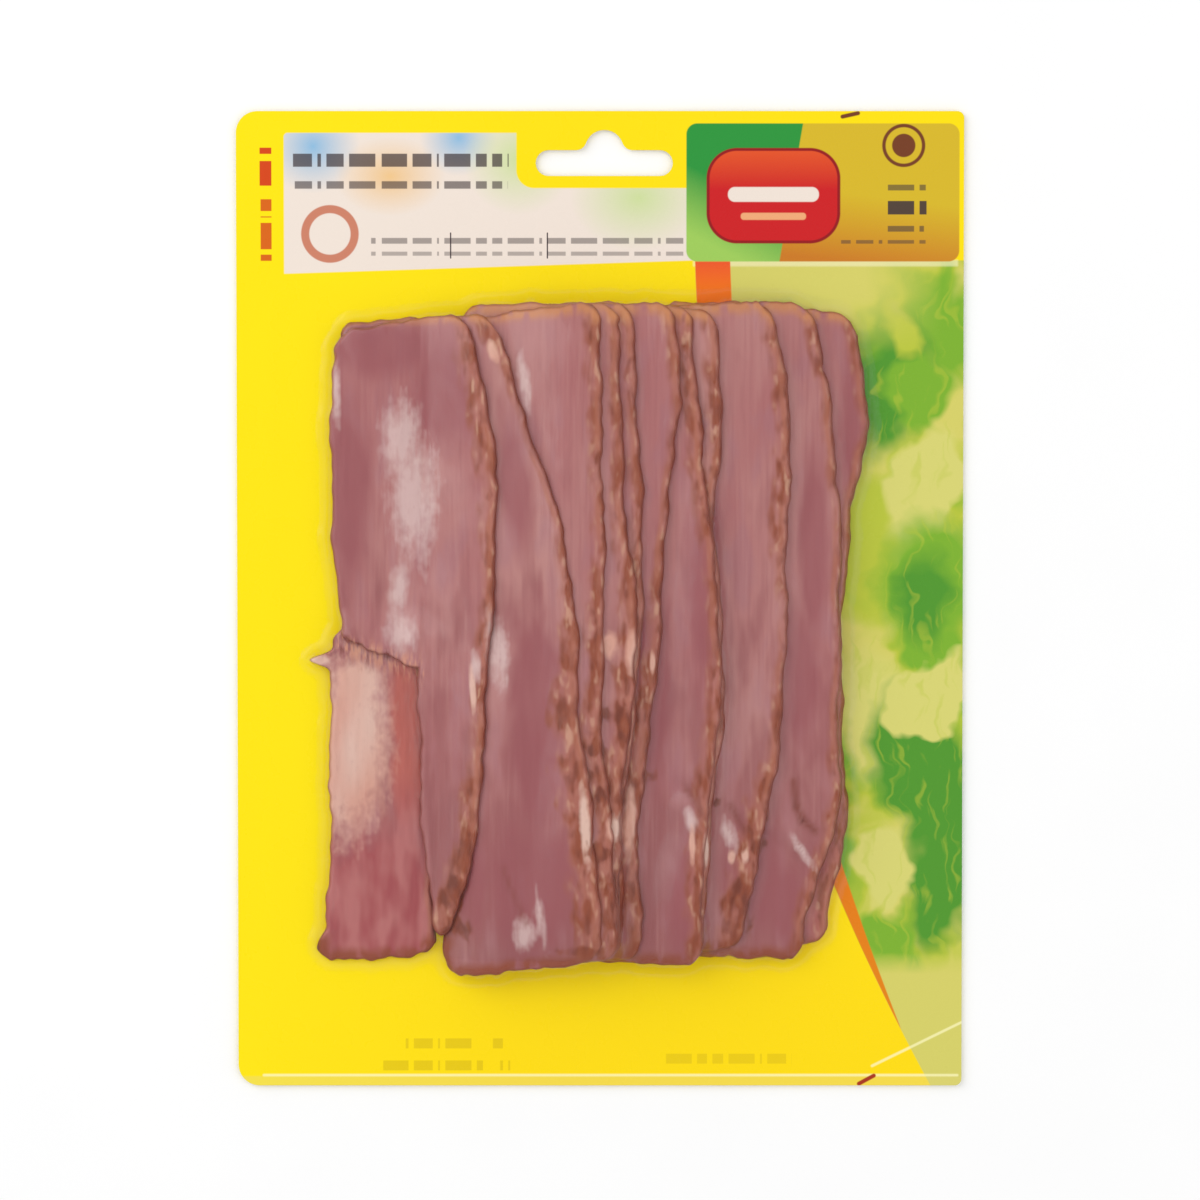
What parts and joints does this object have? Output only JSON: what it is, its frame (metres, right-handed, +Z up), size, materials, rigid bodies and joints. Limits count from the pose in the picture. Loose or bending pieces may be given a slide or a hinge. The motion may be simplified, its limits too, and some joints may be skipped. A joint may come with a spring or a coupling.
{
  "type": "vacuum pack of smoked beef strips",
  "caption": "Flat vacuum pack: shingled smoked meat slices under tight clear film on a stiff printed base web with a hang slot.",
  "frame": {"origin": "middle of the pack's footprint, on the surface that the pack lies on", "axes": "+Y towards the end with the hang slot, +X to the right of it seen from above, +Z up out of the shown side"},
  "size_m": [0.17, 0.2284, 0.0152],
  "materials": {
    "printed_web": "glossy printed laminate",
    "meat": "moist smoked meat with a browned rim",
    "film": "clear glossy film"
  },
  "bodies": {
    "root": {"base_web": "printed_web", "sealed_strips": "meat"}
  },
  "joints": []
}
